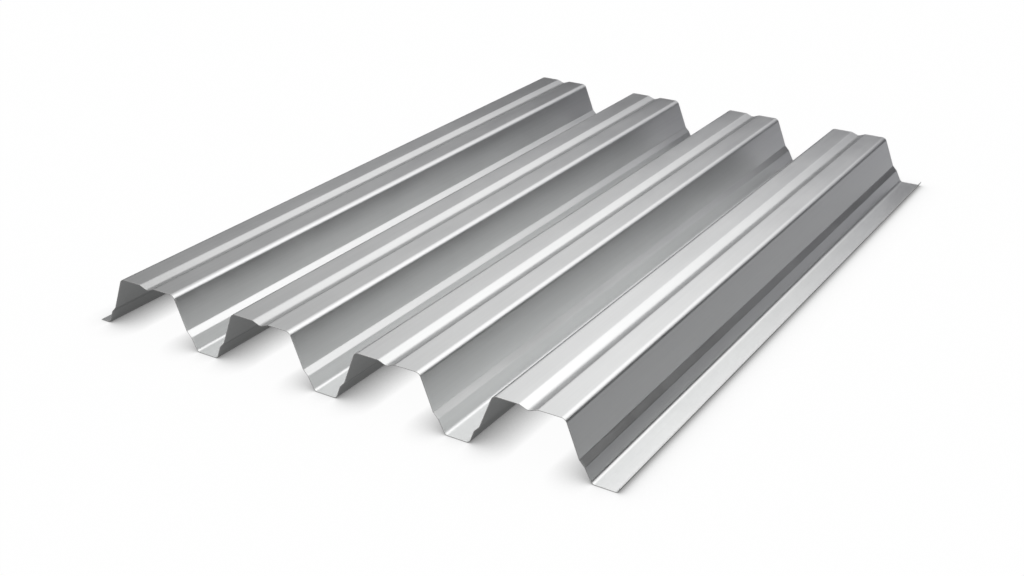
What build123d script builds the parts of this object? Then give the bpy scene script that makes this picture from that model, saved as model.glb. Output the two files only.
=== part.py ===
from build123d import *
from math import atan2, sin
import os

# A trapezoidal deck sheet: one steel strip, roll-formed into four ribs and cut square at both ends.
# The ribs run along Y and the sheet lies on its valleys at Z = 0, with the origin under its middle.
# Widths and levels across the profile are those of the sharp corners of the sheet's middle line.

# The strip
sheet_thickness = 0.8
sheet_length = 1122.0

# The ribs, whose depth is measured over both faces of the sheet
rib_count = 4
rib_pitch = 200.0
profile_depth = 75.0
crest_width = 96.5

# The valleys, each of which lies a little to the right of the middle between its two ribs
valley_width = 34.2
valley_offset = 1.2

# The shallow groove that stiffens each crest
groove_width = 25.0
groove_depth = 4.8

# The flatter step that stiffens each web, with the width and level of its lower bends
step_width = 149.0
step_level = 18.9
step_run = 7.4
step_rise = 7.8

# The long edges: a narrow flat flange on the left, a wide one with an upturned lip on the right
left_flange_width = 17.0
right_flange_width = 32.8
lip_height = 7.0

# Inside radii of the bends
crest_bend_radius = 8.0
valley_bend_radius = 6.0
groove_bend_radius = 7.5
step_bend_radius = 5.0
lip_bend_radius = 4.0

# Levels of the middle line in the valleys and on the crests
half_thickness = sheet_thickness / 2
valley_level = half_thickness
crest_level = profile_depth - half_thickness

# The webs, and the lip, which is as steep as the web above the step
crest_half = crest_width / 2
step_bottom_half = step_width / 2
step_top_half = step_bottom_half - step_run
step_top_level = step_level + step_rise
web_run_per_rise = (step_top_half - crest_half) / (crest_level - step_top_level)
web_slope = atan2(1, web_run_per_rise)
left_foot = (rib_pitch - valley_width) / 2 - valley_offset
right_foot = (rib_pitch - valley_width) / 2 + valley_offset

# Where the long edges and the first rib lie once the whole width is centred on the origin
left_overhang = left_foot + left_flange_width
right_overhang = right_foot + right_flange_width
lip_run = (lip_height - valley_level) * web_run_per_rise
lip_overhang = right_overhang + lip_run + half_thickness * sin(web_slope)
first_rib = (left_overhang - lip_overhang - (rib_count - 1) * rib_pitch) / 2
last_rib = first_rib + (rib_count - 1) * rib_pitch

# One rib from its left foot to its right foot: distance from its middle, level and bend radius
right_half_rib = [
    (groove_width / 2, crest_level, groove_bend_radius),
    (crest_half, crest_level, crest_bend_radius),
    (step_top_half, step_top_level, step_bend_radius),
    (step_bottom_half, step_level, step_bend_radius),
]
left_half_rib = [(-across, level, radius) for across, level, radius in reversed(right_half_rib)]
rib_corners = [
    (-left_foot, valley_level, valley_bend_radius),
    *left_half_rib,
    (0, crest_level - groove_depth, groove_bend_radius),
    *right_half_rib,
    (right_foot, valley_level, valley_bend_radius),
]

# The whole profile, from the left flange over every rib to the lip on the right edge
corners = [(first_rib - left_overhang, valley_level)]
bend_radii = []
for rib in range(rib_count):
    rib_middle = first_rib + rib * rib_pitch
    for across, level, radius in rib_corners:
        corners.append((rib_middle + across, level))
        bend_radii.append(radius + half_thickness)
corners.append((last_rib + right_overhang, valley_level))
bend_radii.append(lip_bend_radius + half_thickness)
corners.append((last_rib + right_overhang + lip_run, lip_height))

# The rolled sheet
with BuildPart() as corrugated_sheet:
    with BuildSketch(Plane.XZ) as profile:
        with BuildLine() as middle_line:
            FilletPolyline(*corners, radius=bend_radii)
        trace(line_width=sheet_thickness)
    extrude(amount=sheet_length / 2, both=True)

corrugated_sheet.part.label = "corrugated_sheet"

os.makedirs("parts", exist_ok=True)
export_step(corrugated_sheet.part, "parts/corrugated_sheet.step")
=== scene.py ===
import math

import bpy
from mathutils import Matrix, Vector


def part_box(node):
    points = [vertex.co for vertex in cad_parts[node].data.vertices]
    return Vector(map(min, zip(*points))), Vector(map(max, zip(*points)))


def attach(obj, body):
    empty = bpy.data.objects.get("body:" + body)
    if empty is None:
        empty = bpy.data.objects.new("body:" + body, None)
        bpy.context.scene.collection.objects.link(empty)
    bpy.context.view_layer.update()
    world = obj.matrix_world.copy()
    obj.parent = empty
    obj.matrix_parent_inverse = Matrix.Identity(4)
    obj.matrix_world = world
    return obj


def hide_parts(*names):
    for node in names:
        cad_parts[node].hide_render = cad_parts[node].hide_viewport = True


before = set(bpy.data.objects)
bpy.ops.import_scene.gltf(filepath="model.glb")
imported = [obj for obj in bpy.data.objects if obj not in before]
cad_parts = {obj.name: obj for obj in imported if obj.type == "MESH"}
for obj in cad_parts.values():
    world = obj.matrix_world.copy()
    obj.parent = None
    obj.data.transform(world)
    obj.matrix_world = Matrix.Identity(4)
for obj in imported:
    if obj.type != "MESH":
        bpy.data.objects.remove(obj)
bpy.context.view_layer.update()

MM = 0.001
NODE = "corrugated_sheet"
low_corner, high_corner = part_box(NODE)

# The strip and its ribs, in a roll former's own terms
SHEET_SIZES = {
    "Sheet length": high_corner.y - low_corner.y,
    "Sheet thickness": 0.8 * MM,
    "Left edge": low_corner.x,
    "Rib pitch": 200.0 * MM,
    "Profile depth": high_corner.z - low_corner.z,
    "Crest width": 96.5 * MM,
    "Step width": 149.0 * MM,
    "Valley width": 34.2 * MM,
    "Valley offset": 1.2 * MM,
    "Groove width": 25.0 * MM,
    "Groove depth": 4.8 * MM,
    "Step level": 18.9 * MM,
    "Step run": 7.4 * MM,
    "Step rise": 7.8 * MM,
    "Left flange width": 17.0 * MM,
    "Right flange width": 32.8 * MM,
    "Lip height": 7.0 * MM,
    "Crest bend radius": 8.0 * MM,
    "Valley bend radius": 6.0 * MM,
    "Groove bend radius": 7.5 * MM,
    "Step bend radius": 5.0 * MM,
    "Lip bend radius": 4.0 * MM,
    "Cut edge rounding": 0.12 * MM,
}
SHEET_COUNTS = {"Rib count": 4, "Bend segments": 10}
BENDS_PER_RIB = 11
FOOT_BEND = (BENDS_PER_RIB - 1) / 2
SAME_WHOLE_NUMBER = 0.1
CUT_EDGE_SEGMENTS = 2
SHARP_ANGLE = math.radians(35)
LONGEST_BEND_STEP = 1.6 * MM
FLATS_WEIGHT = 100

# The zinc coating, and the widths and lengths of what the bath and the rolls leave on it
ZINC_DULL = (0.603, 0.614, 0.613, 1.0)
ZINC_BRIGHT = (0.693, 0.703, 0.701, 1.0)
ZINC_ROUGHNESS = 0.34
GRAIN_WIDTH = 0.7 * MM
GRAIN_LENGTH = 90.0 * MM
STREAK_WIDTH = 4.5 * MM
STREAK_LENGTH = 700.0 * MM
CLOUD_WIDTH = 40.0 * MM
CLOUD_LENGTH = 130.0 * MM
WAVE_WIDTH = 50.0 * MM
WAVE_LENGTH = 240.0 * MM
CRYSTAL_SIZE = 12.0 * MM
CRYSTAL_SOFTNESS = 0.8

# Where a bend has stretched the zinc, which varies a little with the streaks
STRETCH_BEGINS = 0.35
STRETCH_FULL = 0.9
STREAKS_IN_STRETCH = 0.2

# The cut edges, where the steel is bare, and the scuffed strip beside them, whose rim the grain makes uneven
BARE_STEEL = (0.54, 0.535, 0.525, 1.0)
BARE_STEEL_ROUGHNESS = 0.42
CUT_EDGE_DEPTH = 0.13 * MM
EDGE_SCUFF_WIDTH = 5.0 * MM
EDGE_SCUFF_UNEVENNESS = 2.0 * MM

# How much each mark brightens, roughens and raises the zinc, with heights in millimetres
HALFWAY = 0.5
SHADE_SHARES = {
    "grain": 0.55, "streaks": 0.5, "clouds": 0.7, "crystals": 0.08, "stretched": 0.10, "edge_scuff": 0.25}
ROUGHNESS_SHARES = {
    "grain": 0.07, "streaks": 0.03, "clouds": 0.06, "crystals": 0.02, "stretched": 0.02, "edge_scuff": 0.05}
HEIGHT_SHARES = {"waves": 0.06, "grain": 0.004, "crystals": 0.001}

# The camera, from the photograph's own perspective
LENS_MM = 48.0
FILM_WIDTH_MM = 36.0
CAMERA_PLACE = Vector((0.98169, -1.70826, 0.85937))
CAMERA_TARGET = Vector((0.0239, -0.1696, 0.0))

FLOOR_HALF = 30.0
FLOOR_CLEARANCE = 0.1 * MM
FLOOR_PAINT = (0.9, 0.9, 0.9, 1.0)
FLOOR_SHOWN_WHITE = 0.97
# How far the painted contact shadow on the floor reaches
CONTACT_SHADOW_REACH = 50.0 * MM
SHADE_SAMPLES = 8

# The light tent that stands round the sheet: how bright its cloth is by height above the ground, in degrees
TENT_RADIUS = 1.5
TENT_PEAK = 2.0
TENT_CLOTH = {
    0: 0.74, 4: 0.28, 8: 0.0, 15: 0.07, 20: 0.63, 25: 0.80, 30: 1.27, 36: 1.56, 45: 1.61, 60: 1.86, 90: 1.45}
TENT_LOW_TINT = (1.0, 0.99, 1.06)
TENT_HIGH_TINT = (1.01, 1.0, 1.0)
TENT_TINT_HEIGHT = 25

# The lamp behind the cloth: which way it stands, how far round it reaches, and what is left beyond that
LAMP_TURN = math.radians(34.8)
LAMP_REACH = math.radians(170)
LAMP_DIM_SHARE = 0.163

# The black flag at the right: its soft left edge, its soft top, and the gap that it leaves at its foot
FLAG_START = math.radians(30.1)
FLAG_END = math.radians(51.7)
FLAG_TOP = math.radians(30.6)
FLAG_FADE = math.radians(37.2)
FLAG_FOOT = math.radians(2)
FLAG_FOOT_TOP = math.radians(8)
FLAG_FOOT_SHARE = 0.08

# The ground that the metal reflects, with painted shade under and beside the sheet
GROUND_BRIGHTNESS = 0.466
GROUND_SHADE_REACH = 84.0 * MM


class Number:
    """A number inside a node tree, so that a size can be worked out as a written sum."""

    def __init__(self, tree, socket):
        self.tree = tree
        self.socket = socket

    def math(self, operation, other=0.0):
        node = self.tree.nodes.new("ShaderNodeMath")
        node.operation = operation
        join(self.tree, self, node.inputs[0])
        join(self.tree, other, node.inputs[1])
        return Number(self.tree, node.outputs[0])

    def __add__(self, other):
        return self.math("ADD", other)

    def __sub__(self, other):
        return self.math("SUBTRACT", other)

    def __mul__(self, other):
        return self.math("MULTIPLY", other)

    def __truediv__(self, other):
        return self.math("DIVIDE", other)


def join(tree, value, entry):
    """Links a socket or a Number to an entry, or sets the entry to a plain value."""
    if isinstance(value, Number):
        value = value.socket
    if isinstance(value, bpy.types.NodeSocket):
        tree.links.new(value, entry)
    else:
        entry.default_value = value


def add_node(tree, kind, settings=None, **entries):
    """Adds a node with its settings, joins entries by name, and gives its first output.

    An underscore in an entry's name stands for a space.
    """
    node = tree.nodes.new(kind)
    for name, value in (settings or {}).items():
        setattr(node, name, value)
    for name, value in entries.items():
        entry = next(s for s in node.inputs if s.enabled and s.name == name.replace("_", " "))
        join(tree, value, entry)
    return node.outputs[0]


def choose(tree, index, values):
    """One of several numbers, by its place in the list."""
    node = tree.nodes.new("GeometryNodeIndexSwitch")
    node.data_type = "FLOAT"
    while len(node.index_switch_items) < len(values):
        node.index_switch_items.new()
    for value, entry in zip([index, *values], node.inputs):
        join(tree, value, entry)
    return Number(tree, node.outputs[0])


def pick(tree, condition, usual, special):
    """The special number where the condition holds, and the usual one elsewhere."""
    node = tree.nodes.new("GeometryNodeSwitch")
    node.input_type = "FLOAT"
    for value, entry in zip((condition, usual, special), node.inputs):
        join(tree, value, entry)
    return Number(tree, node.outputs[0])


def same(tree, first, second):
    return add_node(
        tree, "FunctionNodeCompare", {"data_type": "FLOAT", "operation": "EQUAL"},
        A=first, B=second, Epsilon=SAME_WHOLE_NUMBER)


def soft_step(tree, value, start, end):
    """0 up to the start and 1 from the end on, with a soft edge between them."""
    step = tree.nodes.new("ShaderNodeMapRange")
    step.interpolation_type = "SMOOTHSTEP"
    for entry, number in zip(step.inputs, (value, start, end, 0.0, 1.0)):
        join(tree, number, entry)
    return Number(tree, step.outputs[0])


def section_point(tree, across, level):
    return add_node(tree, "ShaderNodeCombineXYZ", X=across, Y=0.0, Z=level)


def rolled_section(tree, size):
    """The middle line of the sheet's section, bent from the left flange over every rib to the lip."""
    half_thickness = size["Sheet thickness"] / 2.0
    valley_level = half_thickness
    crest_level = size["Profile depth"] - half_thickness
    foot_half = (size["Rib pitch"] - size["Valley width"]) / 2.0
    crest_half = size["Crest width"] / 2.0
    step_bottom_half = size["Step width"] / 2.0
    step_top_half = step_bottom_half - size["Step run"]
    step_top_level = size["Step level"] + size["Step rise"]
    run_per_rise = (step_top_half - crest_half) / (crest_level - step_top_level)
    left_foot = foot_half - size["Valley offset"]
    right_foot = foot_half + size["Valley offset"]
    first_rib = size["Left edge"] + size["Left flange width"] + left_foot

    # Which rib a corner belongs to, and how many bends it lies from the middle of that rib
    index = Number(tree, tree.nodes.new("GeometryNodeInputIndex").outputs[0])
    rib = ((index - 1.0) / BENDS_PER_RIB).math("FLOOR")
    bend = index - 1.0 - rib * BENDS_PER_RIB - FOOT_BEND
    side = bend.math("SIGN")
    place = bend.math("ABSOLUTE")
    across = choose(tree, place, [
        0.0, size["Groove width"] / 2.0, crest_half, step_top_half, step_bottom_half, foot_half])
    level = choose(tree, place, [
        crest_level - size["Groove depth"], crest_level, crest_level,
        step_top_level, size["Step level"], valley_level])
    valley_shift = pick(tree, same(tree, place, FOOT_BEND), 0.0, size["Valley offset"])
    inside_radius = choose(tree, place, [
        size["Groove bend radius"], size["Groove bend radius"], size["Crest bend radius"],
        size["Step bend radius"], size["Step bend radius"], size["Valley bend radius"]])

    # The two long edges
    lip_corner = size["Rib count"] * BENDS_PER_RIB + 1.0
    lip_end = lip_corner + 1.0
    last_rib = first_rib + size["Rib pitch"] * (size["Rib count"] - 1.0)
    lip_across = last_rib + right_foot + size["Right flange width"]
    lip_run = (size["Lip height"] - valley_level) * run_per_rise
    corners = add_node(
        tree, "GeometryNodePoints", Count=lip_end + 1.0,
        Position=section_point(
            tree, first_rib + size["Rib pitch"] * rib + side * across + valley_shift, level))
    for end, end_across, end_level in (
            (0.0, size["Left edge"], valley_level),
            (lip_corner, lip_across, valley_level),
            (lip_end, lip_across + lip_run, size["Lip height"])):
        corners = add_node(
            tree, "GeometryNodeSetPosition", Geometry=corners, Selection=same(tree, index, end),
            Position=section_point(tree, end_across, end_level))
    inside_radius = pick(tree, same(tree, index, lip_corner), inside_radius, size["Lip bend radius"])

    line = add_node(tree, "GeometryNodePointsToCurves", Points=corners)
    return add_node(
        tree, "GeometryNodeFilletCurve", {"mode": "POLY"}, Curve=line, Count=size["Bend segments"],
        Radius=inside_radius + half_thickness)


def inside_a_bend(tree, across_strip):
    """1 at the points of a bend, and 0 where a flat begins, which is where the next point is far off."""
    index = Number(tree, tree.nodes.new("GeometryNodeInputIndex").outputs[0])
    gaps = []
    for step in (-1.0, 1.0):
        beside = add_node(
            tree, "GeometryNodeFieldAtIndex", {"data_type": "FLOAT", "domain": "POINT"},
            Index=index + step, Value=across_strip)
        gaps.append((Number(tree, beside) - across_strip).math("ABSOLUTE"))
    return gaps[0].math("MAXIMUM", gaps[1]).math("LESS_THAN", LONGEST_BEND_STEP)


def strip_edge(tree, size):
    """The strip seen along its width: as long as the sheet and as thick, with its cut edges just broken."""
    rectangle = add_node(
        tree, "GeometryNodeCurvePrimitiveQuadrilateral",
        Width=size["Sheet length"], Height=size["Sheet thickness"])
    return add_node(
        tree, "GeometryNodeFilletCurve", {"mode": "POLY"}, Curve=rectangle, Count=CUT_EDGE_SEGMENTS,
        Radius=size["Cut edge rounding"])


def roll_forming_tree(material):
    """The node tree that rolls a strip into a ribbed sheet, with the identifiers of its inputs."""
    tree = bpy.data.node_groups.new("roll_forming", "GeometryNodeTree")
    tree.interface.new_socket(name="Sheet", in_out="OUTPUT", socket_type="NodeSocketGeometry")
    identifiers = {}
    for names, socket_type in ((SHEET_SIZES, "NodeSocketFloat"), (SHEET_COUNTS, "NodeSocketInt")):
        for name in names:
            identifiers[name] = tree.interface.new_socket(
                name=name, in_out="INPUT", socket_type=socket_type).identifier
    entry = tree.nodes.new("NodeGroupInput")
    size = {name: Number(tree, entry.outputs[name]) for name in identifiers}

    section = rolled_section(tree, size)
    across_strip = tree.nodes.new("GeometryNodeSplineParameter").outputs["Length"]
    strip_width = Number(tree, tree.nodes.new("GeometryNodeSplineLength").outputs["Length"])
    from_long_edge = (strip_width - across_strip).math("MINIMUM", across_strip)
    for name, value in (
            ("across_strip", across_strip), ("from_long_edge", from_long_edge),
            ("bend", inside_a_bend(tree, across_strip))):
        section = add_node(
            tree, "GeometryNodeStoreNamedAttribute", {"data_type": "FLOAT", "domain": "POINT"},
            Geometry=section, Name=name, Value=value)
    section = add_node(
        tree, "GeometryNodeSetCurveNormal", {"mode": "FREE"}, Curve=section, Normal=(0.0, 1.0, 0.0))
    sheet = add_node(
        tree, "GeometryNodeCurveToMesh", Curve=section, Profile_Curve=strip_edge(tree, size),
        Fill_Caps=True)
    edge_angle = tree.nodes.new("GeometryNodeInputMeshEdgeAngle").outputs["Unsigned Angle"]
    is_sharp = Number(tree, edge_angle).math("GREATER_THAN", SHARP_ANGLE)
    sheet = add_node(
        tree, "GeometryNodeSetShadeSmooth", {"domain": "EDGE"}, Geometry=sheet, Selection=is_sharp,
        Shade_Smooth=False)
    sheet = add_node(tree, "GeometryNodeRealizeInstances", Geometry=sheet)
    sheet = add_node(tree, "GeometryNodeSetMaterial", Geometry=sheet, Material=material)
    leave = tree.nodes.new("NodeGroupOutput")
    tree.links.new(sheet, leave.inputs[0])
    return tree, identifiers


def roll_sheet(material):
    """The whole ribbed sheet as one plain mesh at the origin."""
    blank = bpy.data.objects.new("strip_blank", bpy.data.meshes.new("strip_blank"))
    bpy.context.scene.collection.objects.link(blank)
    tree, identifiers = roll_forming_tree(material)
    rolling = blank.modifiers.new("rolling", "NODES")
    rolling.node_group = tree
    for name, value in {**SHEET_SIZES, **SHEET_COUNTS}.items():
        rolling[identifiers[name]] = value
    flats = blank.modifiers.new("true_flats", "WEIGHTED_NORMAL")
    flats.keep_sharp = True
    flats.weight = FLATS_WEIGHT
    evaluated = blank.evaluated_get(bpy.context.evaluated_depsgraph_get())
    mesh = bpy.data.meshes.new_from_object(evaluated)
    mesh.name = "ribbed_sheet"
    sheet = bpy.data.objects.new("ribbed_sheet", mesh)
    bpy.context.scene.collection.objects.link(sheet)
    bpy.data.objects.remove(blank)
    return sheet


def strip_place(tree, across, along, width, length):
    """A place on the strip as it was before rolling, in the widths and lengths of one mark on it."""
    return add_node(tree, "ShaderNodeCombineXYZ", X=across / width, Y=along / length)


def soft_marks(tree, place, detail=2.0):
    """Soft marks that run from about -0.5 to 0.5, round zero."""
    value = add_node(
        tree, "ShaderNodeTexNoise", {"noise_dimensions": "2D"}, Vector=place, Scale=1.0, Detail=detail)
    return Number(tree, value) - HALFWAY


def zinc_crystals(tree, place):
    """A shade for each crystal of the zinc that melts into the next one, from -0.5 to 0.5."""
    crystals = tree.nodes.new("ShaderNodeTexVoronoi")
    crystals.voronoi_dimensions = "2D"
    crystals.feature = "SMOOTH_F1"
    crystals.inputs["Scale"].default_value = 1.0
    crystals.inputs["Smoothness"].default_value = CRYSTAL_SOFTNESS
    join(tree, place, crystals.inputs["Vector"])
    shade = add_node(tree, "ShaderNodeSeparateColor", Color=crystals.outputs["Color"])
    return Number(tree, shade) - HALFWAY


def piece_attribute(tree, name):
    attribute = tree.nodes.new("ShaderNodeAttribute")
    attribute.attribute_name = name
    return Number(tree, attribute.outputs["Fac"])


def add_up(marks, shares):
    """The sum of the named marks, each by its share."""
    first, *others = (marks[name] * share for name, share in shares.items())
    for other in others:
        first = first + other
    return first


def mix_colours(tree, share, first, second):
    mix = tree.nodes.new("ShaderNodeMix")
    mix.data_type = "RGBA"
    colours = [entry for entry in mix.inputs if entry.enabled]
    for entry, value in zip(colours, (share, first, second)):
        join(tree, value, entry)
    return next(output for output in mix.outputs if output.enabled)


def zinc_coated_steel(sheet_length):
    """Hot-dipped zinc over rolled steel, with fine grain along the ribs and bare steel where it is cut."""
    material = bpy.data.materials.new("zinc_coated_steel")
    material.use_nodes = True
    tree = material.node_tree
    shader = tree.nodes["Principled BSDF"]
    shader.inputs["Metallic"].default_value = 1.0

    across = piece_attribute(tree, "across_strip")
    place = tree.nodes.new("ShaderNodeTexCoord").outputs["Object"]
    separate = tree.nodes.new("ShaderNodeSeparateXYZ")
    join(tree, place, separate.inputs[0])
    along = Number(tree, separate.outputs["Y"])

    # Each mark's width and length on the strip, and how finely it breaks up
    marks = {}
    for name, width, length, detail in (
            ("grain", GRAIN_WIDTH, GRAIN_LENGTH, 3.0),
            ("streaks", STREAK_WIDTH, STREAK_LENGTH, 2.0),
            ("clouds", CLOUD_WIDTH, CLOUD_LENGTH, 4.0),
            ("waves", WAVE_WIDTH, WAVE_LENGTH, 1.0)):
        marks[name] = soft_marks(tree, strip_place(tree, across, along, width, length), detail)
    marks["crystals"] = zinc_crystals(tree, strip_place(tree, across, along, CRYSTAL_SIZE, CRYSTAL_SIZE))

    # How near a cut edge is, and which narrow strip of it is the cut itself
    from_end = along.math("ABSOLUTE") * -1.0 + sheet_length / 2.0
    from_cut = piece_attribute(tree, "from_long_edge").math("MINIMUM", from_end)
    cut = soft_step(tree, from_cut, CUT_EDGE_DEPTH, 0.0)
    uneven = from_cut + marks["grain"] * EDGE_SCUFF_UNEVENNESS
    marks["edge_scuff"] = soft_step(tree, uneven, EDGE_SCUFF_WIDTH, 0.0)
    stretch = piece_attribute(tree, "bend") + marks["streaks"] * STREAKS_IN_STRETCH
    marks["stretched"] = soft_step(tree, stretch, STRETCH_BEGINS, STRETCH_FULL)

    shade = add_up(marks, SHADE_SHARES) + HALFWAY
    zinc = mix_colours(tree, shade, ZINC_DULL, ZINC_BRIGHT)
    tree.links.new(mix_colours(tree, cut, zinc, BARE_STEEL), shader.inputs["Base Color"])
    roughness = add_up(marks, ROUGHNESS_SHARES) + ZINC_ROUGHNESS
    roughness = roughness + cut * (BARE_STEEL_ROUGHNESS - ZINC_ROUGHNESS)
    join(tree, roughness, shader.inputs["Roughness"])
    bump = add_node(
        tree, "ShaderNodeBump", Strength=1.0, Distance=MM, Height=add_up(marks, HEIGHT_SHARES))
    tree.links.new(bump, shader.inputs["Normal"])
    return material


def place_camera():
    camera = bpy.data.objects.new("camera", bpy.data.cameras.new("camera"))
    camera.data.lens = LENS_MM
    camera.data.sensor_width = FILM_WIDTH_MM
    camera.location = CAMERA_PLACE
    camera.rotation_euler = (CAMERA_TARGET - CAMERA_PLACE).to_track_quat("-Z", "Y").to_euler()
    bpy.context.scene.collection.objects.link(camera)
    bpy.context.scene.camera = camera


def studio_object(name, corners, faces, material):
    """A part of the studio, which isn't part of the sheet."""
    mesh = bpy.data.meshes.new(name)
    mesh.from_pydata(corners, [], faces)
    mesh.materials.append(material)
    obj = bpy.data.objects.new(name, mesh)
    bpy.context.scene.collection.objects.link(obj)
    return obj


def empty_material(name):
    material = bpy.data.materials.new(name)
    material.use_nodes = True
    material.node_tree.nodes.clear()
    return material, material.node_tree


def finish_surface(tree, shader):
    leave = tree.nodes.new("ShaderNodeOutputMaterial")
    tree.links.new(shader, leave.inputs["Surface"])


def openness(tree, reach):
    """How open the ground is as far as the reach, used as painted shade: 1 in the open, and less under the
    sheet and beside it.
    """
    shade = tree.nodes.new("ShaderNodeAmbientOcclusion")
    shade.samples = SHADE_SAMPLES
    shade.inputs["Distance"].default_value = reach
    return Number(tree, shade.outputs["AO"])


def floor_paint():
    """Pale paint that the eye sees as white paper, with a painted contact shadow on it from ambient
    occlusion and a faint real shadow in the paint.
    """
    material, tree = empty_material("floor_paint")
    paint = add_node(tree, "ShaderNodeBsdfDiffuse", Color=FLOOR_PAINT)
    # Painted contact shadow: ambient occlusion dims the white glow under and beside the sheet
    white = add_node(tree, "ShaderNodeEmission", Strength=openness(tree, CONTACT_SHADOW_REACH))
    rays = tree.nodes.new("ShaderNodeLightPath").outputs
    shown = Number(tree, rays["Is Camera Ray"]).math("MAXIMUM", rays["Is Glossy Ray"])
    shown = shown.math("MAXIMUM", rays["Is Transmission Ray"])
    mix = tree.nodes.new("ShaderNodeMixShader")
    for value, entry in zip((shown * FLOOR_SHOWN_WHITE, paint, white), mix.inputs):
        join(tree, value, entry)
    finish_surface(tree, mix.outputs[0])
    return material


def lay_floor():
    corners = [(-1, -1), (1, -1), (1, 1), (-1, 1)]
    corners = [(x * FLOOR_HALF, y * FLOOR_HALF, -FLOOR_CLEARANCE) for x, y in corners]
    studio_object("floor", corners, [(0, 1, 2, 3)], floor_paint())


def cloth_by_height(tree, height):
    """The colour of the lit cloth at each height, as a share of the brightest that it may be."""
    ramp = tree.nodes.new("ShaderNodeValToRGB")
    join(tree, height / (math.pi / 2), ramp.inputs[0])
    stops = ramp.color_ramp.elements
    while len(stops) < len(TENT_CLOTH):
        stops.new(HALFWAY)
    for stop, (degrees, brightness) in zip(stops, TENT_CLOTH.items()):
        tint = TENT_LOW_TINT if degrees < TENT_TINT_HEIGHT else TENT_HIGH_TINT
        stop.position = degrees / 90
        stop.color = [brightness / TENT_PEAK * share for share in tint] + [1.0]
    return ramp.outputs["Color"]


def tent_cloth():
    """Cloth lit from behind, darkest just over the ground, with a black flag at the right."""
    material, tree = empty_material("tent_cloth")
    place = tree.nodes.new("ShaderNodeTexCoord").outputs["Object"]
    separate = tree.nodes.new("ShaderNodeSeparateXYZ")
    join(tree, place, separate.inputs[0])
    across, along, up = (Number(tree, output) for output in separate.outputs)
    height = (up / TENT_RADIUS).math("ARCSINE")
    turn = across.math("ARCTAN2", along.math("ABSOLUTE"))

    from_lamp = (turn - LAMP_TURN).math("ABSOLUTE")
    lamp = soft_step(tree, from_lamp, LAMP_REACH, 0.0) * (1.0 - LAMP_DIM_SHARE) + LAMP_DIM_SHARE
    flag_side = soft_step(tree, turn, FLAG_START, FLAG_END)
    flag_low = soft_step(tree, height, FLAG_FADE, FLAG_TOP)
    flag_foot = soft_step(tree, height, FLAG_FOOT_TOP, FLAG_FOOT) * (FLAG_FOOT_SHARE - 1.0) + 1.0
    unflagged = (flag_side * flag_low * flag_foot) * -1.0 + 1.0
    finish_surface(tree, add_node(
        tree, "ShaderNodeEmission", Color=cloth_by_height(tree, height),
        Strength=lamp * unflagged * TENT_PEAK))
    return material


def ground_cloth():
    """Cloth on the ground, with painted shade under and beside the sheet."""
    material, tree = empty_material("ground_cloth")
    # Painted shade: ambient occlusion dims the cloth's glow near the sheet
    brightness = openness(tree, GROUND_SHADE_REACH) * GROUND_BRIGHTNESS
    finish_surface(tree, add_node(tree, "ShaderNodeEmission", Strength=brightness))
    return material


def pitch_tent():
    """A round tent of cloth that only the metal's reflections see."""
    sides, tiers = 96, 24
    rings = [
        [(TENT_RADIUS * math.cos(rise) * math.sin(turn), TENT_RADIUS * math.cos(rise) * math.cos(turn),
          TENT_RADIUS * math.sin(rise))
         for turn in (2 * math.pi * side / sides for side in range(sides))]
        for rise in (math.pi / 2 * tier / tiers for tier in range(tiers))]
    corners = [corner for ring in rings for corner in ring]
    faces = [(tier * sides + side, tier * sides + (side + 1) % sides,
              (tier + 1) * sides + (side + 1) % sides, (tier + 1) * sides + side)
             for tier in range(tiers - 1) for side in range(sides)]
    faces += [((tiers - 1) * sides + side, (tiers - 1) * sides + (side + 1) % sides, len(corners))
              for side in range(sides)]
    corners.append((0.0, 0.0, TENT_RADIUS))
    dome = studio_object("tent", corners, faces, tent_cloth())
    ground = [(x, y, -FLOOR_CLEARANCE / 2) for x, y, _ in rings[0]]
    ground = studio_object("tent_ground", ground, [tuple(range(sides))], ground_cloth())
    for cloth in (dome, ground):
        cloth.visible_camera = False
        cloth.visible_diffuse = False
        cloth.visible_transmission = False
        cloth.visible_volume_scatter = False
        cloth.visible_shadow = False


def light_studio():
    world = bpy.data.worlds.new("studio")
    bpy.context.scene.world = world
    world.use_nodes = True
    world.node_tree.nodes["Background"].inputs["Color"].default_value = (1.0, 1.0, 1.0, 1.0)


sheet = roll_sheet(zinc_coated_steel(SHEET_SIZES["Sheet length"]))
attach(sheet, "root")
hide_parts(NODE)

place_camera()
lay_floor()
pitch_tent()
light_studio()
bpy.context.scene.view_settings.view_transform = "Standard"
